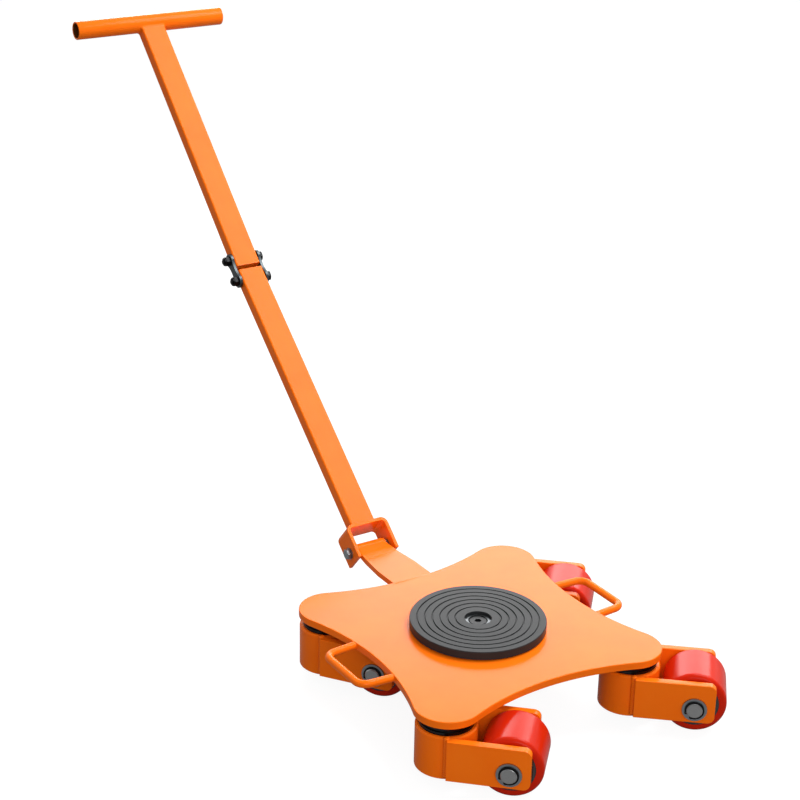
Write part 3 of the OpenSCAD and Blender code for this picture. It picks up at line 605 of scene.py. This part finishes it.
STRIP_L, STRIP_T, STRIP_EDGE = 6, 2.04, 0.5
BARREL_Y = (BARREL_FROM + BARREL_TO) / 2
bpy.ops.mesh.primitive_cube_add(size=1, location=((-WAIST / 2 + 0.6) * mm, BARREL_Y * mm, (DECK_TOP - 1) * mm),
                                scale=(STRIP_L * mm, (TONGUE_ROOT_W - 2) * mm, STRIP_T * mm))
flush = bpy.context.object
bpy.ops.object.transform_apply(location=True, rotation=True, scale=True)
ground = flush.modifiers.new("ground edges", "BEVEL")
ground.width = STRIP_EDGE * mm
ground.segments = 3
bpy.ops.object.modifier_apply(modifier=ground.name)
coated(flush, "tongue_flush_weld", "deck")
print("barrel and tongue welds", faces_of(wide, thin, flush))

# %% [markdown]
# ## The floor and the light
#
# The skate stands on a plain floor that runs out of the picture on every side. Its own colour is
# a mid grey, so that it throws little light back at the painted sides. A glow that the camera sees
# lifts it to the paper white of a catalogue page, and shiny metal sees a fifth of that glow. The
# shadow stays soft and nothing is over-lit.

# %% Floor
FLOOR_SIZE, FLOOR_GLOW, FLOOR_MIRRORED = 14, 0.92, 0.2


def ray_that_sees(tree, mirror_share=1.0):
    """1 for camera rays, a share of that for glossy and transmission rays, and 0 for the rest."""
    path = add_node(tree, "ShaderNodeLightPath")
    mirrored = add_node(tree, "ShaderNodeMath", links={0: path.outputs["Is Glossy Ray"],
                                                       1: path.outputs["Is Transmission Ray"]}, operation="MAXIMUM")
    seen = add_node(tree, "ShaderNodeMath", {1: mirror_share}, {0: mirrored.outputs["Value"],
                                                               2: path.outputs["Is Camera Ray"]},
                    operation="MULTIPLY_ADD")
    return seen.outputs["Value"]


floor_z = cad_box[0].z
bpy.ops.mesh.primitive_plane_add(size=FLOOR_SIZE, location=(0, 0, floor_z))
floor = bpy.context.object
floor.name = "studio_floor"
floor_paper, tree, shader = new_finish("white_studio_floor", {
    "Base Color": linear("#686868"), "Roughness": 0.9, "Specular IOR Level": 0.1,
    "Emission Color": (1, 1, 1, 1)})
glow = add_node(tree, "ShaderNodeMath", {1: FLOOR_GLOW}, {0: ray_that_sees(tree, FLOOR_MIRRORED)},
                operation="MULTIPLY")
tree.links.new(glow.outputs["Value"], shader.inputs["Emission Strength"])
dress(floor, floor_paper)
print("floor at", round(floor_z, 4))

# %% [markdown]
# The camera sees a white room. As light, the room is a mild grey. Shiny metal mirrors it white
# on the far side and darker on the camera's side, which is what gives the bolts and the axle
# ends their shape.

# %% World
ROOM_LIGHT, NEAR_SIDE, FAR_SIDE = 0.5, 0.2, 1.0

world = bpy.data.worlds.new("white_studio")
bpy.context.scene.world = world
world.use_nodes = True
tree = world.node_tree
tree.nodes.clear()
direction = add_node(tree, "ShaderNodeTexCoord").outputs["Generated"]
facing = add_node(tree, "ShaderNodeVectorMath", {1: (-back.x, -back.y, 0.15)}, {0: direction},
                  operation="DOT_PRODUCT")
backdrop = add_node(tree, "ShaderNodeMapRange",
                    {"From Min": -0.25, "From Max": 0.35, "To Min": NEAR_SIDE, "To Max": FAR_SIDE},
                    {"Value": facing.outputs["Value"]})
mirrored = add_node(tree, "ShaderNodeMix", {"A": ROOM_LIGHT},
                    {"Factor": ray_that_sees(tree), "B": backdrop.outputs["Result"]}, data_type="FLOAT")
path = add_node(tree, "ShaderNodeLightPath")
strength = add_node(tree, "ShaderNodeMath", links={0: mirrored.outputs["Result"],
                                                   1: path.outputs["Is Camera Ray"]}, operation="MAXIMUM")
room = add_node(tree, "ShaderNodeBackground", {"Color": (1, 1, 1, 1)}, {"Strength": strength.outputs["Value"]})
add_node(tree, "ShaderNodeOutputWorld", links={"Surface": room.outputs["Background"]})
print("world strengths: 1 seen,", ROOM_LIGHT, "as light")

# %% [markdown]
# Three large soft boxes light it. One hangs high on the right. One stands low and wide on the far
# side, and the flat tops glow by its reflection. The third is on the camera's right and gives the
# plates' outer faces and the round housings their light. Large boxes are used because small lamps
# would throw hard shadows.

# %% Soft boxes
def soft_box(name, place, target, width, height, watts):
    bpy.ops.object.light_add(type="AREA", location=place)
    lamp = bpy.context.object
    lamp.name = name
    lamp.data.shape = "RECTANGLE"
    lamp.data.size = width
    lamp.data.size_y = height
    lamp.data.energy = watts
    lamp.rotation_euler = (Vector(target) - Vector(place)).to_track_quat("-Z", "Y").to_euler()
    lamp.visible_camera = False


soft_box("top_soft_box", (0.03, 1.05, 2.0), (-0.1, 0, 0), 1.4, 1.4, 50)
soft_box("far_soft_box", (-1.72, 1.42, 0.97), (0, 0, 0), 2.8, 0.86, 46)
soft_box("side_soft_box", (2.25, -0.88, 1.1), (0, 0, 0.05), 1.8, 1.1, 24)
print("three soft boxes")

bpy.context.scene.view_settings.view_transform = "Standard"
